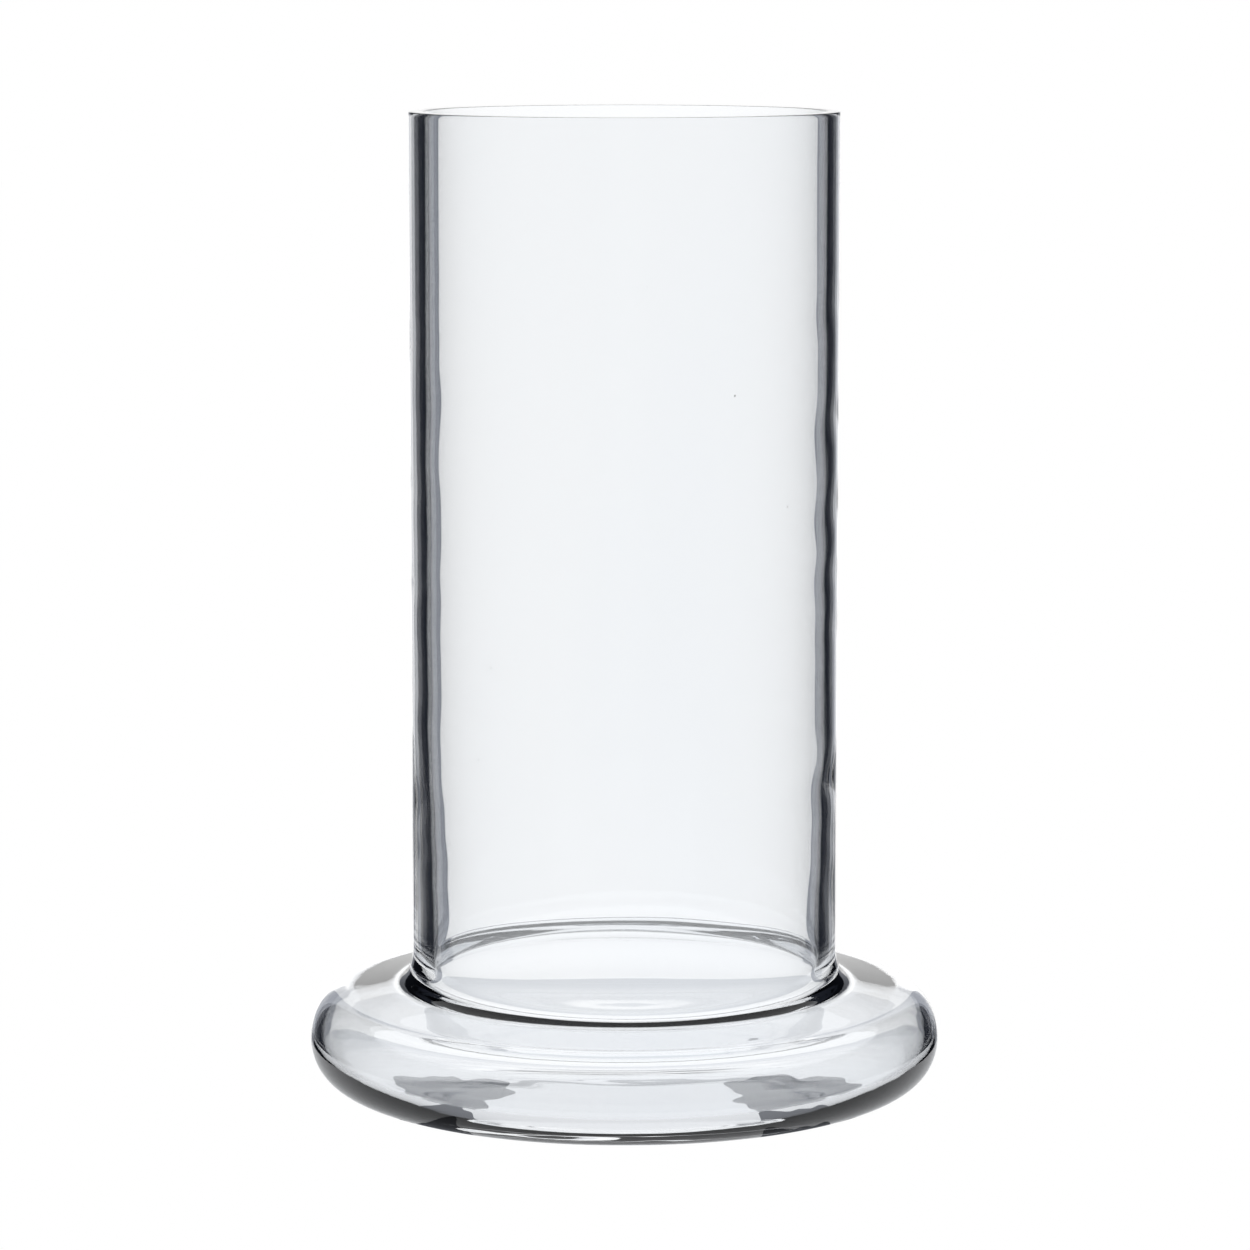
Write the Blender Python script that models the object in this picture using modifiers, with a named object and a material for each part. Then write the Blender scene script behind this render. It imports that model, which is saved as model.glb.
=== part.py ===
"""Clear glass cylinder vase with a hollow blown ring at its foot.

The vase is one blown piece of glass. It is modelled as the four stretches that its wall falls into, each
a turned shape with a hairline joint to the next: the cylinder with its flat cut rim, the shoulder where
the wall flares out over the hollow ring, the rounded bowl that the ring stands on, and the floor with a
slight push-up underneath.

Units are metres, +Z is up, and the origin is at the middle of the circle that the vase stands on.
"""

import math

import bpy

# Driving dimensions, in metres.
HEIGHT = 0.300
CYLINDER_RADIUS = 0.0648
CYLINDER_FOOT_RADIUS = 0.0655
WALL_AT_RIM = 0.0044
WALL_AT_FOOT = 0.0056
THICKENING_HEIGHT = 0.1150

CREASE_RADIUS = 0.0698
CREASE_HEIGHT = 0.0320
FLARE_RISE = 0.0112
INNER_BEND = 0.0050
INNER_CORNER_HEIGHT = 0.0308

RING_RADIUS = 0.0974
RING_EQUATOR_HEIGHT = 0.0148
RING_TOP_HEIGHT = 0.0297
RING_TOP_RADIUS = 0.0847
RING_TOP_FULLNESS = 2.12
RING_WALL = 0.0040

STANDING_OUTER_RADIUS = 0.0819
STANDING_INNER_RADIUS = 0.0720
UNDERSIDE_FULLNESS = 2.15
FLOOR_THICKNESS = 0.0065
PUSH_UP = 0.0025

RIM_EDGE_RADIUS = 0.0004
FLOOR_JOINT_RADIUS = 0.0700
JOINT_GAP = 0.0003

# How finely each turned shape is divided.
TURN_STEPS = 72
FLARE_STEPS = 6
THICKENING_STEPS = 6
QUARTER_STEPS = 9
RIM_EDGE_STEPS = 2
FLOOR_STEPS = 5
MERGE_DISTANCE = 0.00001
SHARP_ANGLE = math.radians(35)

# Clear, colourless glass.
GLASS_COLOUR = (0.93, 0.95, 0.96, 1.0)
GLASS_ROUGHNESS = 0.02
GLASS_IOR = 1.5

# Derived dimensions.
RIM_INNER_RADIUS = CYLINDER_RADIUS - WALL_AT_RIM
FOOT_INNER_RADIUS = CYLINDER_FOOT_RADIUS - WALL_AT_FOOT
FLARE_HEIGHT = CREASE_HEIGHT + FLARE_RISE
BEND_HEIGHT = INNER_CORNER_HEIGHT + INNER_BEND
CEILING_HEIGHT = RING_TOP_HEIGHT - RING_WALL


def arc(centre, half_width, half_height, start, end, steps, fullness=2.0):
    """Points (radius, height) round an oval, from one angle to another, in degrees.

    A fullness of 2 makes an ellipse, and a larger one fills its corners out."""
    points = []
    for step in range(steps + 1):
        angle = math.radians(start + (end - start) * step / steps)
        across = math.copysign(abs(math.cos(angle)) ** (2 / fullness), math.cos(angle))
        up = math.copysign(abs(math.sin(angle)) ** (2 / fullness), math.sin(angle))
        points.append((centre[0] + half_width * across, centre[1] + half_height * up))
    return points


def underside_height(radius):
    """Height of the underside within the standing face: a shallow cosine dome."""
    return PUSH_UP * (1 + math.cos(math.pi * radius / STANDING_INNER_RADIUS)) / 2


def outer_radius(height):
    """Radius of the cylinder's outside, which narrows a little from the flare to the rim."""
    rise = (height - FLARE_HEIGHT) / (HEIGHT - FLARE_HEIGHT)
    return CYLINDER_FOOT_RADIUS + (CYLINDER_RADIUS - CYLINDER_FOOT_RADIUS) * rise


def thickening():
    """The inside of the cylinder from the joint up to where the wall reaches the thickness of the rim."""
    thin_radius = outer_radius(THICKENING_HEIGHT) - WALL_AT_RIM
    foot = FLARE_HEIGHT + JOINT_GAP
    points = []
    for step in range(THICKENING_STEPS + 1):
        share = (1 - math.cos(math.pi * step / THICKENING_STEPS)) / 2
        radius = FOOT_INNER_RADIUS + (thin_radius - FOOT_INNER_RADIUS) * share
        points.append((radius, foot + (THICKENING_HEIGHT - foot) * step / THICKENING_STEPS))
    return points


def cylinder_wall_profile():
    """Tube, thicker towards the foot. Its rim is cut flat, with both edges just broken by polishing."""
    edge = RIM_EDGE_RADIUS
    foot = FLARE_HEIGHT + JOINT_GAP
    outer_edge = arc((CYLINDER_RADIUS - edge, HEIGHT - edge), edge, edge, 90, 0, RIM_EDGE_STEPS)
    inner_edge = arc((RIM_INNER_RADIUS + edge, HEIGHT - edge), edge, edge, 180, 90, RIM_EDGE_STEPS)
    return outer_edge + [(CYLINDER_FOOT_RADIUS, foot)] + thickening() + inner_edge


def foot_shoulder_profile():
    """The wall flares out to a crease, then rolls over to the ring's widest circle."""
    foot = RING_EQUATOR_HEIGHT + JOINT_GAP
    flare = CREASE_RADIUS - CYLINDER_FOOT_RADIUS
    outside = arc((CREASE_RADIUS, FLARE_HEIGHT), flare, FLARE_RISE, 180, 270, FLARE_STEPS)
    shoulder_centre = (RING_TOP_RADIUS, foot)
    across = RING_RADIUS - RING_TOP_RADIUS
    outside += arc(shoulder_centre, across, RING_TOP_HEIGHT - foot, 90, 0, QUARTER_STEPS, RING_TOP_FULLNESS)

    inside = arc(shoulder_centre, across - RING_WALL, CEILING_HEIGHT - foot, 0, 90, QUARTER_STEPS,
                 RING_TOP_FULLNESS)
    bend_centre = (FOOT_INNER_RADIUS + INNER_BEND, BEND_HEIGHT)
    inside += arc(bend_centre, INNER_BEND, INNER_BEND, 270, 180, FLARE_STEPS)
    inside.append((FOOT_INNER_RADIUS, FLARE_HEIGHT))
    return outside + inside


def foot_bowl_profile():
    """The ring's lower half, from the widest circle in to the flat face that the vase stands on."""
    centre = (STANDING_OUTER_RADIUS, RING_EQUATOR_HEIGHT)
    across = RING_RADIUS - STANDING_OUTER_RADIUS
    outside = arc(centre, across, RING_EQUATOR_HEIGHT, 0, -90, QUARTER_STEPS, UNDERSIDE_FULLNESS)

    joint = FLOOR_JOINT_RADIUS + JOINT_GAP
    underside = [(STANDING_INNER_RADIUS, 0), (joint, underside_height(joint)), (joint, FLOOR_THICKNESS)]

    down = RING_EQUATOR_HEIGHT - FLOOR_THICKNESS
    inside = arc(centre, across - RING_WALL, down, -90, 0, QUARTER_STEPS, UNDERSIDE_FULLNESS)
    return outside + underside + inside


def vase_floor_profile():
    """Round floor, level on top and pushed up a little underneath, so that only the bowl stands."""
    underside = []
    for step in range(FLOOR_STEPS + 1):
        radius = FLOOR_JOINT_RADIUS * (1 - step / FLOOR_STEPS)
        underside.append((radius, underside_height(radius)))
    return [(0, FLOOR_THICKNESS), (FLOOR_JOINT_RADIUS, FLOOR_THICKNESS)] + underside


def glass(name):
    """Clear glass for one stretch of the vase."""
    material = bpy.data.materials.new(name)
    material.use_nodes = True
    shader = material.node_tree.nodes["Principled BSDF"]
    shader.inputs["Base Color"].default_value = GLASS_COLOUR
    shader.inputs["Metallic"].default_value = 0.0
    shader.inputs["Roughness"].default_value = GLASS_ROUGHNESS
    shader.inputs["IOR"].default_value = GLASS_IOR
    shader.inputs["Transmission Weight"].default_value = 1.0
    return material


def turned(name, profile, collection, closed=True):
    """An object that turns the profile, a list of (radius, height), once round the Z axis.

    The profile runs down the outside first. A profile that starts and ends on the axis isn't closed."""
    edges = [(index, index + 1) for index in range(len(profile) - 1)]
    if closed:
        edges.append((len(profile) - 1, 0))
    outline = bpy.data.meshes.new(name + "_outline")
    outline.from_pydata([(radius, 0, height) for radius, height in profile], edges, [])
    part = bpy.data.objects.new(name, outline)
    collection.objects.link(part)

    screw = part.modifiers.new("turn", "SCREW")
    screw.steps = TURN_STEPS
    screw.render_steps = TURN_STEPS
    screw.use_merge_vertices = True
    screw.merge_threshold = MERGE_DISTANCE

    graph = bpy.context.evaluated_depsgraph_get()
    part.data = bpy.data.meshes.new_from_object(part.evaluated_get(graph))
    part.data.name = name
    part.modifiers.clear()
    bpy.data.meshes.remove(outline)

    part.data.shade_smooth()
    part.data.set_sharp_from_angle(angle=SHARP_ANGLE)
    part.data.materials.append(glass(name + "_glass"))


def main():
    for old in list(bpy.data.objects):
        bpy.data.objects.remove(old)
    vase = bpy.data.collections.new("cylinder_vase")
    bpy.context.scene.collection.children.link(vase)
    turned("cylinder_wall", cylinder_wall_profile(), vase)
    turned("foot_shoulder", foot_shoulder_profile(), vase)
    turned("foot_bowl", foot_bowl_profile(), vase)
    turned("vase_floor", vase_floor_profile(), vase, closed=False)


main()
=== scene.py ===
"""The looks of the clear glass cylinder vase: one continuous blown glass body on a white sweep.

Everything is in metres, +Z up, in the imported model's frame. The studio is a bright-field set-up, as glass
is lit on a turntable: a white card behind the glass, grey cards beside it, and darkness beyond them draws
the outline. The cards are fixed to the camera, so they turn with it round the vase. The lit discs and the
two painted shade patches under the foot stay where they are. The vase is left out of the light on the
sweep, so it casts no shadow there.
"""

import math

import bmesh
import bpy
import numpy as np
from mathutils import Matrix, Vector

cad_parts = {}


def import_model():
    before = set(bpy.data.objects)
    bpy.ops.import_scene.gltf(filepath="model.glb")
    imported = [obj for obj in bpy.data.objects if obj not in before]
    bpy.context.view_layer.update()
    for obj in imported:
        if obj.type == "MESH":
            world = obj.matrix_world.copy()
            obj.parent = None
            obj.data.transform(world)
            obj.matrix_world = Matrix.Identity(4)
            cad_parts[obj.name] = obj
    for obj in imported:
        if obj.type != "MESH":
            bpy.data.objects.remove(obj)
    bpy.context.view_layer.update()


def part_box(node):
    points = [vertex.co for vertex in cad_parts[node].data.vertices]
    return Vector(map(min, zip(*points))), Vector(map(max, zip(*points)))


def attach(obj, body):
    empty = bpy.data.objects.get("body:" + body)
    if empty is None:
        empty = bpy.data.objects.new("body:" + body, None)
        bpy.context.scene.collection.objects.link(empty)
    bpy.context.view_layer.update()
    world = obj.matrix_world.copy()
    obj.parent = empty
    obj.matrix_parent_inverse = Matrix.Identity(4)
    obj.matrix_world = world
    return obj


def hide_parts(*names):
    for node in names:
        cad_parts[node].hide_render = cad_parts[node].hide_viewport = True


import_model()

# ---- The vase's shape, in metres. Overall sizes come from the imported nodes. ----
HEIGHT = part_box("cylinder_wall")[1].z
CYLINDER_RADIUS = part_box("cylinder_wall")[1].x
RING_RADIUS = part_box("foot_bowl")[1].x
EQUATOR_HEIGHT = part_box("foot_bowl")[1].z
RING_TOP_HEIGHT = 0.0297
CREASE_HEIGHT = 0.0320
CREASE_RADIUS = 0.0698
RADIUS_AT_FOOT = 0.0655

WALL_AT_RIM = 0.0044
WALL_AT_FOOT = 0.0056
THICKENING_TOP = 0.1150
FLARE_RISE = 0.0112
SHOULDER_RADIUS = 0.0847
SHOULDER_FULLNESS = 2.12
RING_WALL = 0.0040
INNER_BEND = 0.0050
INNER_CORNER_HEIGHT = 0.0308
STANDING_OUTER_RADIUS = 0.0819
UNDERSIDE_FULLNESS = 2.15
STANDING_INNER_RADIUS = 0.0720
FLOOR_THICKNESS = 0.0065
PUSH_UP = 0.0025
RIM_EDGE_RADIUS = 0.0004

# ---- How finely the glass is divided. ----
TURN_STEPS = 288
ARC_STEPS = 24
CURVE_STEPS = 12
EDGE_STEPS = 4
PROFILE_SPACING = 0.0012
SMOOTHING_PASSES = 6

# ---- How uneven the blowing left it. The cut end, bend, middle and standing face are calm. ----
# Waves are (turns round, wavelength along, phase, depth); seeds are (angle in degrees, height, radius).
STRAIGHT_FROM = 0.272
STRAIGHT_FADE = 0.060
BEND_TOP = 0.045
WAVINESS = 0.28
STILL_SHARE = 0.90
STILL_FADE = 0.030
STILL_MIDDLE = 0.020
LEVEL_BELOW = 0.0006
INSIDE_SHIFT = 0.00040
OUTSIDE_WAVES = [(1, 0.071, 0.4, 0.00006), (2, 0.033, 2.1, 0.00005), (3, 0.047, 4.0, 0.00004),
                 (0, 0.026, 1.0, 0.00004)]
INSIDE_WAVES = [(1, 0.052, 1.3, 0.00010), (2, 0.029, 0.2, 0.00008), (3, 0.021, 3.3, 0.00006),
                (4, 0.038, 5.1, 0.00006), (1, 0.016, 2.6, 0.00004)]
SEEDS = [(-59.6, 0.2185, 0.00022), (-128.0, 0.137, 0.00016), (-84.0, 0.251, 0.00012),
         (33.0, 0.176, 0.00020), (141.0, 0.094, 0.00018), (-17.0, 0.071, 0.00015)]
SEED_STRETCH = 1.5
SEED_DIVISIONS = 2

# ---- The glass. ----
GLASS_IOR = 1.5
GLASS_BOUNCES = 24
REFLECTION_BOUNCES = 12
TINT_CLEAR = (0.984, 0.992, 0.999)
TINT_COOL = (0.970, 0.983, 0.997)
TINT_SCALE = 9.0
TINT_STRETCH = (1.0, 1.0, 0.3)
TINT_RANGE = (0.35, 0.65)
HAZE_SCALE = 70.0
HAZE_STRETCH = (1.0, 1.0, 1.0)
HAZE_RANGE = (0.62, 0.85)
HAZE = 0.02
CORD_SCALE = 55.0
CORD_STRETCH = (1.0, 1.0, 0.10)
CORD_DEPTH = 0.00004

# ---- Camera: a long lens a little above the rim, tilted down to the middle of the vase. ----
CAMERA_DISTANCE = 1.4304
CAMERA_HEIGHT = 0.3438
CAMERA_SIDE = 0.0002
CAMERA_TILT = math.radians(8.0)
CAMERA_TO_VASE = CAMERA_DISTANCE / math.cos(CAMERA_TILT)
SENSOR_WIDTH = 36.0
LENS = 135.3
CLIP_START = 0.01
CLIP_END = 100.0

# ---- The cards, in the camera's own axes: reach to each side, low and high edges, distance. ----
CARD_DISTANCE = 1.2
BEHIND = -(CAMERA_TO_VASE + CARD_DISTANCE)
WHITE_CARD_REACH = 0.36
GREY_CARD_REACH = 0.53
CARD_LOW = -0.5
CARD_HIGH = 1.2
FRONT_CARD_REACH = 1.6
FRONT_CARD_LOW = -1.8
FRONT_CARD_HIGH = -0.66
FRONT_CARD_AWAY = 0.3

# ---- The floor, the lit disc and the painted shade patches on it, and the lit disc overhead. ----
FLOOR_REACH = 6.0
FLOOR_HEIGHT = -0.0003
FLOOR_COLOUR = (0.8, 0.8, 0.8, 1.0)
FLOOR_GLOW = 0.2
TABLE_REACH = 0.125
TABLE_HEIGHT = -0.0004
DISC_STEPS = 64
SHADE_HEIGHT = -0.00025
SHADE_STEPS = 96
# Each painted shade patch is (across, back, half width, half depth); each lobe of its edge is (count,
# phase, depth).
SHADES = [(-0.052, -0.043, 0.017, 0.032), (0.050, -0.044, 0.019, 0.031)]
SHADE_LOBES = [(7, 2, 0.09), (13, 0, 0.05)]
SHADE_MAIN_LOBES = 3
SHADE_MAIN_DEPTH = 0.16
OVERHEAD_REACH = 2.0
OVERHEAD_HEIGHT = 1.3

# ---- How bright each of them is, and its tint. ----
WHITE = 1.09
GREY = 0.40
FRONT = 0.10
TABLE = 0.85
# SHADE: the glow of the painted shade patches, dimmer than the lit disc they lie on.
SHADE = 0.20
OVERHEAD = 0.85
DARK = (0.013, 0.015, 0.021, 1.0)
WHITE_TINT = (1.0, 1.0, 1.0)
GREY_TINT = (0.86, 0.90, 1.00)
COOL_TINT = (0.96, 0.975, 1.00)


def arc(centre, half_width, half_height, start, end, steps, fullness=2.0):
    """Points (radius, height) round a superellipse, from one angle to another, in degrees."""
    points = []
    for step in range(steps + 1):
        angle = math.radians(start + (end - start) * step / steps)
        across, up = math.cos(angle), math.sin(angle)
        radius = centre[0] + half_width * math.copysign(abs(across) ** (2 / fullness), across)
        height = centre[1] + half_height * math.copysign(abs(up) ** (2 / fullness), up)
        points.append((radius, height))
    return points


def distance_along(line):
    """How far each point of a line is from its start, measured along it."""
    return np.concatenate([[0], np.cumsum(np.linalg.norm(np.diff(line, axis=0), axis=1))])


def resampled(points, spacing):
    """The same line with points evenly spaced along it."""
    line = np.array(points)
    along = distance_along(line)
    count = max(2, int(round(along[-1] / spacing)))
    places = np.linspace(0, along[-1], count + 1)
    return np.column_stack([np.interp(places, along, line[:, axis]) for axis in (0, 1)])


def smoothed(line, passes):
    """Rounds off the joins between arcs. The two ends stay."""
    line = line.copy()
    for _ in range(passes):
        line[1:-1] += (line[:-2] + line[2:] - 2 * line[1:-1]) / 4
    return line


def outside_line():
    """From the axis underneath, out over the standing face and up the outside, to just under the rim."""
    line = []
    for step in range(CURVE_STEPS + 1):
        radius = STANDING_INNER_RADIUS * step / CURVE_STEPS
        line.append((radius, PUSH_UP * (1 + math.cos(math.pi * radius / STANDING_INNER_RADIUS)) / 2))
    line += arc((STANDING_OUTER_RADIUS, EQUATOR_HEIGHT), RING_RADIUS - STANDING_OUTER_RADIUS,
                EQUATOR_HEIGHT, -90, 0, ARC_STEPS, UNDERSIDE_FULLNESS)
    line += arc((SHOULDER_RADIUS, EQUATOR_HEIGHT), RING_RADIUS - SHOULDER_RADIUS,
                RING_TOP_HEIGHT - EQUATOR_HEIGHT, 0, 90, ARC_STEPS, SHOULDER_FULLNESS)[1:]
    line += arc((CREASE_RADIUS, CREASE_HEIGHT + FLARE_RISE), CREASE_RADIUS - RADIUS_AT_FOOT, FLARE_RISE,
                270, 180, ARC_STEPS)
    line.append((CYLINDER_RADIUS, HEIGHT - RIM_EDGE_RADIUS))
    return smoothed(resampled(line, PROFILE_SPACING), SMOOTHING_PASSES)


def inside_line():
    """From under the rim down the inside, under the shoulder, round the ring and in over the floor."""
    inner_foot = RADIUS_AT_FOOT - WALL_AT_FOOT
    narrowing = (RADIUS_AT_FOOT - CYLINDER_RADIUS) * (1 - THICKENING_TOP / HEIGHT)
    inner_thin = CYLINDER_RADIUS + narrowing - WALL_AT_RIM
    bend_top = INNER_CORNER_HEIGHT + INNER_BEND
    line = [(CYLINDER_RADIUS - WALL_AT_RIM, HEIGHT - RIM_EDGE_RADIUS)]
    for step in range(CURVE_STEPS + 1):
        share = (1 - math.cos(math.pi * step / CURVE_STEPS)) / 2
        line.append((inner_thin + (inner_foot - inner_thin) * share,
                     THICKENING_TOP + (bend_top - THICKENING_TOP) * step / CURVE_STEPS))
    line += arc((inner_foot + INNER_BEND, bend_top), INNER_BEND, INNER_BEND, 180, 270, ARC_STEPS)
    line += arc((SHOULDER_RADIUS, EQUATOR_HEIGHT), RING_RADIUS - RING_WALL - SHOULDER_RADIUS,
                RING_TOP_HEIGHT - RING_WALL - EQUATOR_HEIGHT, 90, 0, ARC_STEPS, SHOULDER_FULLNESS)
    line += arc((STANDING_OUTER_RADIUS, EQUATOR_HEIGHT), RING_RADIUS - RING_WALL - STANDING_OUTER_RADIUS,
                EQUATOR_HEIGHT - FLOOR_THICKNESS, 0, -90, ARC_STEPS, UNDERSIDE_FULLNESS)[1:]
    line.append((0, FLOOR_THICKNESS))
    return smoothed(resampled(line, PROFILE_SPACING), SMOOTHING_PASSES)


def rim_line():
    """Across the flat cut rim, outside to inside, with both edges just broken."""
    edge = RIM_EDGE_RADIUS
    inner = CYLINDER_RADIUS - WALL_AT_RIM
    top = HEIGHT - edge
    outer_edge = arc((CYLINDER_RADIUS - edge, top), edge, edge, 0, 90, EDGE_STEPS)
    inner_edge = arc((inner + edge, top), edge, edge, 90, 180, EDGE_STEPS)
    return np.array(outer_edge[1:] + inner_edge[:-1])


def outward(line):
    """The outward direction (across, up) at each point of a line that runs with the glass on its left."""
    along = np.gradient(line, axis=0)
    along /= np.linalg.norm(along, axis=1, keepdims=True)
    return np.column_stack([along[:, 1], -along[:, 0]])


def ripple(waves, angles, along):
    """The sum of waves that wind round the vase; each is (turns, wavelength, phase, depth)."""
    total = np.zeros((len(along), len(angles)))
    for turns, wavelength, phase, depth in waves:
        total += depth * np.sin(turns * angles + 2 * math.pi * along[:, None] / wavelength + phase)
    return total


def eased(value, low, high):
    """0 below low, 1 above high and a smooth step between."""
    share = np.clip((value - low) / (high - low), 0, 1)
    return share * share * (3 - 2 * share)


def turn_angles():
    """The angles of the points in each ring of the glass."""
    return np.arange(TURN_STEPS) * 2 * math.pi / TURN_STEPS


def hand_blown(line, waves, centre):
    """A line turned into rings of points, uneven as blown glass is; the cut end at the top stays true."""
    angles = turn_angles()
    along = distance_along(line)
    below_cut = 1 - eased(line[:, 1], STRAIGHT_FROM - STRAIGHT_FADE, STRAIGHT_FROM)
    calm = below_cut * eased(line[:, 0], 0, STILL_MIDDLE)
    above_ring = eased(line[:, 1], EQUATOR_HEIGHT, CREASE_HEIGHT)
    still = 1 - STILL_SHARE * above_ring * (1 - eased(line[:, 1], BEND_TOP, BEND_TOP + STILL_FADE))
    depth = WAVINESS * ripple(waves, angles, along) * (calm * still)[:, None]
    out = outward(line)
    radius = line[:, :1] + out[:, :1] * depth
    height = line[:, 1:] + out[:, 1:] * depth * (line[:, 1:] > LEVEL_BELOW)
    x = radius * np.cos(angles) + centre * above_ring[:, None]
    return np.stack([x, radius * np.sin(angles), height], axis=2)


def glass_body():
    """The whole vase as one closed surface about the Z axis, with a few seed bubbles in the wall."""
    outside = hand_blown(outside_line()[1:], OUTSIDE_WAVES, 0.0)
    rim = rim_line()
    half = len(rim) // 2
    inside = hand_blown(inside_line()[:-1], INSIDE_WAVES, INSIDE_SHIFT)
    angles = turn_angles()
    edge = np.stack([rim[:, :1] * np.cos(angles), rim[:, :1] * np.sin(angles),
                     np.repeat(rim[:, 1:], TURN_STEPS, axis=1)], axis=2)
    edge[half:, :, 0] += INSIDE_SHIFT
    rings = np.concatenate([outside, edge, inside])
    points = rings.reshape(-1, 3)
    bottom, top = len(points), len(points) + 1
    points = np.vstack([points, [0, 0, PUSH_UP], [0, 0, FLOOR_THICKNESS]]).tolist()

    faces = []
    last = (len(rings) - 1) * TURN_STEPS
    for turn in range(TURN_STEPS):
        after = (turn + 1) % TURN_STEPS
        faces.append((bottom, after, turn))
        faces.append((top, last + turn, last + after))
        for ring in range(0, last, TURN_STEPS):
            faces.append((ring + turn, ring + after, ring + TURN_STEPS + after, ring + TURN_STEPS + turn))
    for angle, height, size in SEEDS:
        add_seed(points, faces, math.radians(angle), height, size)
    mesh = bpy.data.meshes.new("glass_body")
    mesh.from_pydata(points, [], faces)
    mesh.validate()
    mesh.shade_smooth()
    return placed("glass_body", mesh)


def add_seed(points, faces, angle, height, size):
    """A trapped air bubble in the middle of the wall, drawn out upwards; its faces look inwards."""
    middle = CYLINDER_RADIUS - WALL_AT_RIM / 2
    seed = bmesh.new()
    bmesh.ops.create_icosphere(seed, subdivisions=SEED_DIVISIONS, radius=size)
    first = len(points)
    for corner in seed.verts:
        points.append([middle * math.cos(angle) + corner.co.x, middle * math.sin(angle) + corner.co.y,
                       height + corner.co.z * SEED_STRETCH])
    for face in seed.faces:
        faces.append(tuple(first + corner.index for corner in reversed(face.verts)))
    seed.free()


def clear_glass():
    """Colourless glass: a trace of cool tint, faint cords down the wall and a few hazy marks."""
    material = bpy.data.materials.new("clear_glass")
    material.use_nodes = True
    nodes, links = material.node_tree.nodes, material.node_tree.links
    shader = nodes["Principled BSDF"]
    shader.inputs["IOR"].default_value = GLASS_IOR
    shader.inputs["Transmission Weight"].default_value = 1.0
    place = nodes.new("ShaderNodeTexCoord")

    def noise_at(scale, stretch, detail):
        mapping = nodes.new("ShaderNodeMapping")
        mapping.inputs["Scale"].default_value = stretch
        links.new(place.outputs["Object"], mapping.inputs["Vector"])
        texture = nodes.new("ShaderNodeTexNoise")
        texture.inputs["Scale"].default_value = scale
        texture.inputs["Detail"].default_value = detail
        links.new(mapping.outputs["Vector"], texture.inputs["Vector"])
        return texture.outputs["Fac"]

    def ranged(value, limits, highest):
        step = nodes.new("ShaderNodeMapRange")
        step.inputs["From Min"].default_value = limits[0]
        step.inputs["From Max"].default_value = limits[1]
        step.inputs["To Max"].default_value = highest
        links.new(value, step.inputs["Value"])
        return step.outputs["Result"]

    tint = nodes.new("ShaderNodeMix")
    tint.data_type = "RGBA"
    tint.inputs["A"].default_value = (*TINT_CLEAR, 1.0)
    tint.inputs["B"].default_value = (*TINT_COOL, 1.0)
    links.new(ranged(noise_at(TINT_SCALE, TINT_STRETCH, 2), TINT_RANGE, 1.0), tint.inputs["Factor"])
    links.new(tint.outputs["Result"], shader.inputs["Base Color"])
    haze = ranged(noise_at(HAZE_SCALE, HAZE_STRETCH, 4), HAZE_RANGE, HAZE)
    links.new(haze, shader.inputs["Roughness"])
    bump = nodes.new("ShaderNodeBump")
    bump.inputs["Distance"].default_value = CORD_DEPTH
    bump.inputs["Strength"].default_value = 1.0
    links.new(noise_at(CORD_SCALE, CORD_STRETCH, 2), bump.inputs["Height"])
    links.new(bump.outputs["Normal"], shader.inputs["Normal"])
    return material


def emissive(name, strength, tint):
    """A material that only gives light."""
    material = bpy.data.materials.new(name)
    material.use_nodes = True
    nodes, links = material.node_tree.nodes, material.node_tree.links
    nodes.clear()
    shader = nodes.new("ShaderNodeEmission")
    shader.inputs["Color"].default_value = (*tint, 1.0)
    shader.inputs["Strength"].default_value = strength
    links.new(shader.outputs[0], nodes.new("ShaderNodeOutputMaterial").inputs["Surface"])
    return material


def placed(name, data):
    """A new object in the scene that holds a mesh or a camera."""
    thing = bpy.data.objects.new(name, data)
    bpy.context.scene.collection.objects.link(thing)
    return thing


def seen_by_glass_only(sheet):
    """Leaves a sheet out of the picture and of the light on the sweep: it shows only through the glass."""
    sheet.visible_camera = False
    sheet.visible_diffuse = False
    sheet.visible_shadow = False


def card(camera, name, left, right, low, high, away, strength, tint):
    """A card square to the camera's line of sight, in the camera's own axes. Only the glass sees it."""
    corners = [(left, low, away), (right, low, away), (right, high, away), (left, high, away)]
    mesh = bpy.data.meshes.new(name)
    mesh.from_pydata(corners, [], [(0, 1, 2, 3)])
    mesh.materials.append(emissive(name, strength, tint))
    sheet = placed(name, mesh)
    sheet.parent = camera
    seen_by_glass_only(sheet)


def world():
    """White for the camera, an even soft dome for the floor, and dark for what the glass shows."""
    studio = bpy.data.worlds.new("studio")
    bpy.context.scene.world = studio
    studio.use_nodes = True
    studio.cycles.sampling_method = "NONE"
    nodes, links = studio.node_tree.nodes, studio.node_tree.links
    nodes.clear()
    path = nodes.new("ShaderNodeLightPath")
    bounced = nodes.new("ShaderNodeMath")
    bounced.operation = "GREATER_THAN"
    bounced.inputs[1].default_value = 0.5  # Diffuse Depth counts whole bounces.
    links.new(path.outputs["Diffuse Depth"], bounced.inputs[0])
    bright = nodes.new("ShaderNodeMath")
    bright.operation = "MAXIMUM"
    links.new(path.outputs["Is Camera Ray"], bright.inputs[0])
    links.new(bounced.outputs[0], bright.inputs[1])
    level = nodes.new("ShaderNodeMix")
    level.data_type = "RGBA"
    level.inputs["A"].default_value = DARK
    level.inputs["B"].default_value = (*WHITE_TINT, 1.0)
    links.new(bright.outputs[0], level.inputs["Factor"])
    shader = nodes.new("ShaderNodeBackground")
    links.new(level.outputs["Result"], shader.inputs["Color"])
    links.new(shader.outputs[0], nodes.new("ShaderNodeOutputWorld").inputs["Surface"])


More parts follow.
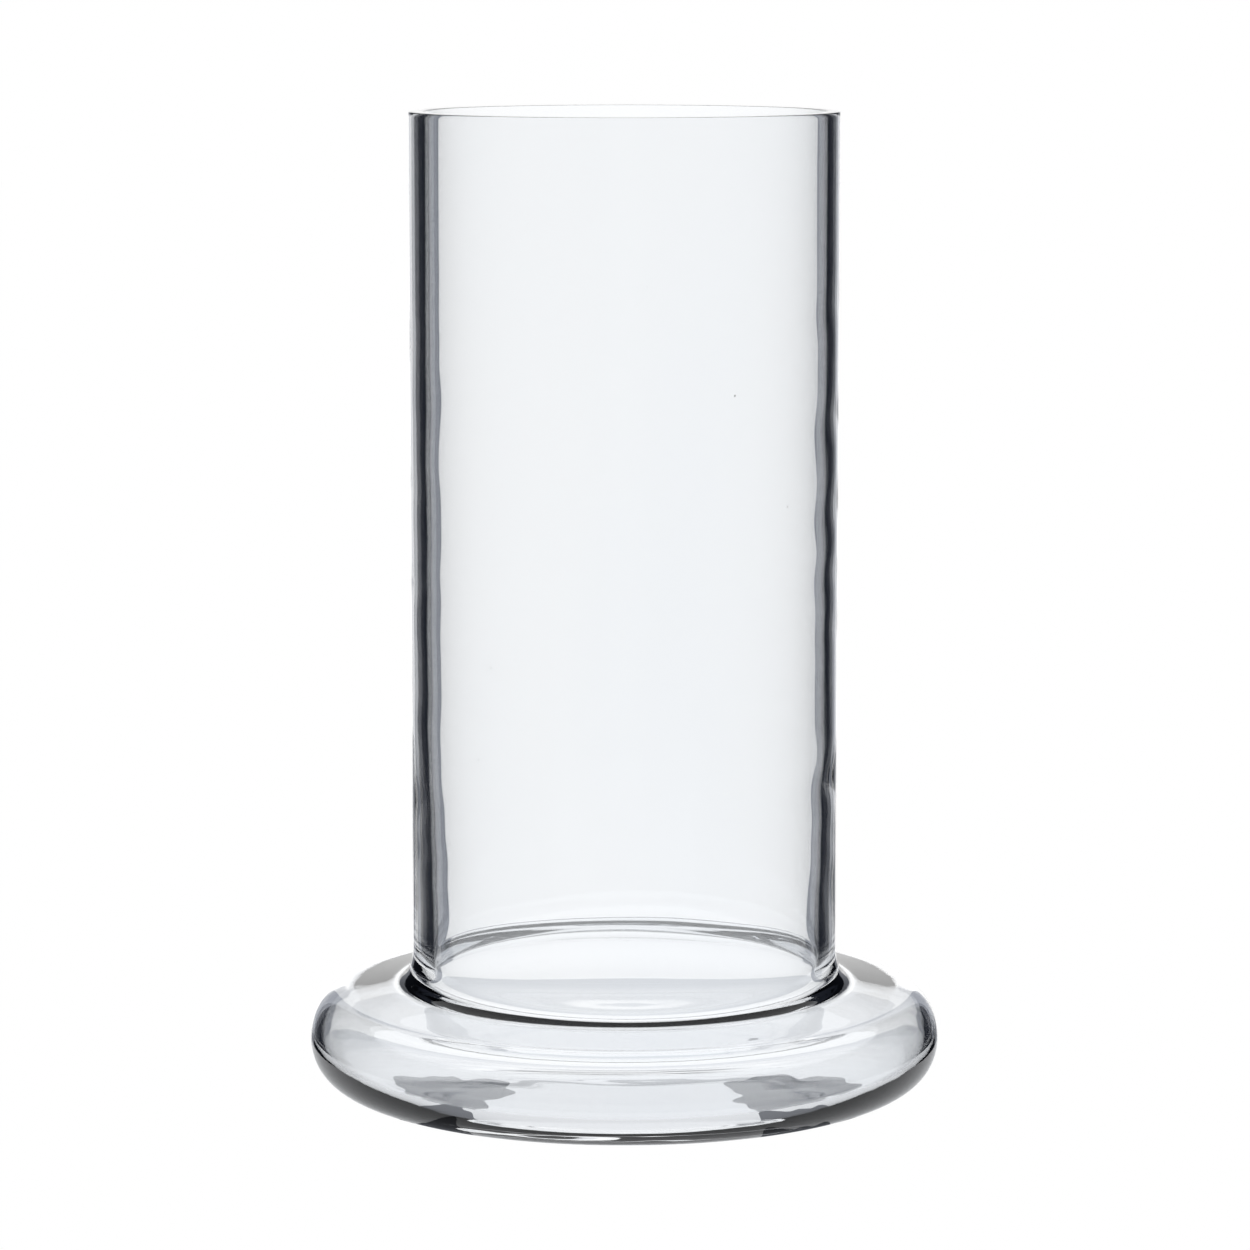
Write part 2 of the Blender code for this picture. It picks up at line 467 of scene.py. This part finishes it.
def floor():
    """The plain pale sweep, which the glass doesn't show: it shows the lit disc instead."""
    mesh = bpy.data.meshes.new("floor")
    turns = ((-1, -1), (1, -1), (1, 1), (-1, 1))
    corners = [(FLOOR_REACH * across, FLOOR_REACH * back, FLOOR_HEIGHT) for across, back in turns]
    mesh.from_pydata(corners, [], [(0, 1, 2, 3)])
    material = bpy.data.materials.new("white_sweep")
    material.use_nodes = True
    shader = material.node_tree.nodes["Principled BSDF"]
    shader.inputs["Base Color"].default_value = FLOOR_COLOUR
    shader.inputs["Roughness"].default_value = 1.0
    shader.inputs["Specular IOR Level"].default_value = 0.0
    shader.inputs["Emission Color"].default_value = (*WHITE_TINT, 1.0)
    shader.inputs["Emission Strength"].default_value = FLOOR_GLOW
    mesh.materials.append(material)
    sheet = placed("floor", mesh)
    sheet.visible_transmission = False
    sheet.visible_glossy = False


def disc(name, reach, height, strength):
    """A level, lit disc about the Z axis that only the glass sees."""
    mesh = bpy.data.meshes.new(name)
    round_edge = [(reach * math.cos(a), reach * math.sin(a), height)
                  for a in np.linspace(0, 2 * math.pi, DISC_STEPS, endpoint=False)]
    mesh.from_pydata(round_edge, [], [tuple(range(DISC_STEPS))])
    mesh.materials.append(emissive(name, strength, COOL_TINT))
    seen_by_glass_only(placed(name, mesh))


def shade(number, across, back, half_width, half_depth):
    """A painted shade patch: a dimly glowing sheet on the sweep under the foot, with an uneven edge, which
    only the glass shows.
    """
    mesh = bpy.data.meshes.new(f"shade_{number}")
    edge = []
    for a in np.linspace(0, 2 * math.pi, SHADE_STEPS, endpoint=False):
        uneven = 1 + SHADE_MAIN_DEPTH * math.sin(SHADE_MAIN_LOBES * a + number)
        uneven += sum(depth * math.sin(count * a + phase) for count, phase, depth in SHADE_LOBES)
        edge.append((across + half_width * uneven * math.cos(a), back + half_depth * uneven * math.sin(a),
                     SHADE_HEIGHT))
    mesh.from_pydata(edge, [], [tuple(range(len(edge)))])
    mesh.materials.append(emissive(f"shade_{number}", SHADE, GREY_TINT))
    seen_by_glass_only(placed(f"shade_{number}", mesh))


def make_camera():
    """The camera that looks along +Y, tilted down."""
    data = bpy.data.cameras.new("camera")
    data.sensor_width = SENSOR_WIDTH
    data.lens = LENS
    data.clip_start = CLIP_START
    data.clip_end = CLIP_END
    camera = placed("camera", data)
    camera.location = (CAMERA_SIDE, -CAMERA_DISTANCE, CAMERA_HEIGHT)
    camera.rotation_euler = (math.pi / 2 - CAMERA_TILT, 0, 0)
    bpy.context.scene.camera = camera
    return camera


camera = make_camera()
world()
floor()
card(camera, "white_card", -WHITE_CARD_REACH, WHITE_CARD_REACH, CARD_LOW, CARD_HIGH, BEHIND, WHITE,
     WHITE_TINT)
card(camera, "grey_card_left", -GREY_CARD_REACH, -WHITE_CARD_REACH, CARD_LOW, CARD_HIGH, BEHIND, GREY,
     GREY_TINT)
card(camera, "grey_card_right", WHITE_CARD_REACH, GREY_CARD_REACH, CARD_LOW, CARD_HIGH, BEHIND, GREY,
     GREY_TINT)
card(camera, "front_card", -FRONT_CARD_REACH, FRONT_CARD_REACH, FRONT_CARD_LOW, FRONT_CARD_HIGH,
     FRONT_CARD_AWAY, FRONT, GREY_TINT)
disc("lit_table", TABLE_REACH, TABLE_HEIGHT, TABLE)
# The painted shade patches under the foot, seen only through the glass.
for number, place in enumerate(SHADES):
    shade(number, *place)
disc("overhead", OVERHEAD_REACH, OVERHEAD_HEIGHT, OVERHEAD)

body = glass_body()
body.data.materials.append(clear_glass())
body.visible_shadow = False
body.visible_diffuse = False
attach(body, "root")
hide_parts("cylinder_wall", "foot_shoulder", "foot_bowl", "vase_floor")

scene = bpy.context.scene
scene.view_settings.view_transform = "Standard"
scene.cycles.max_bounces = GLASS_BOUNCES
scene.cycles.transmission_bounces = GLASS_BOUNCES
scene.cycles.glossy_bounces = REFLECTION_BOUNCES
scene.cycles.caustics_reflective = True
scene.cycles.caustics_refractive = True
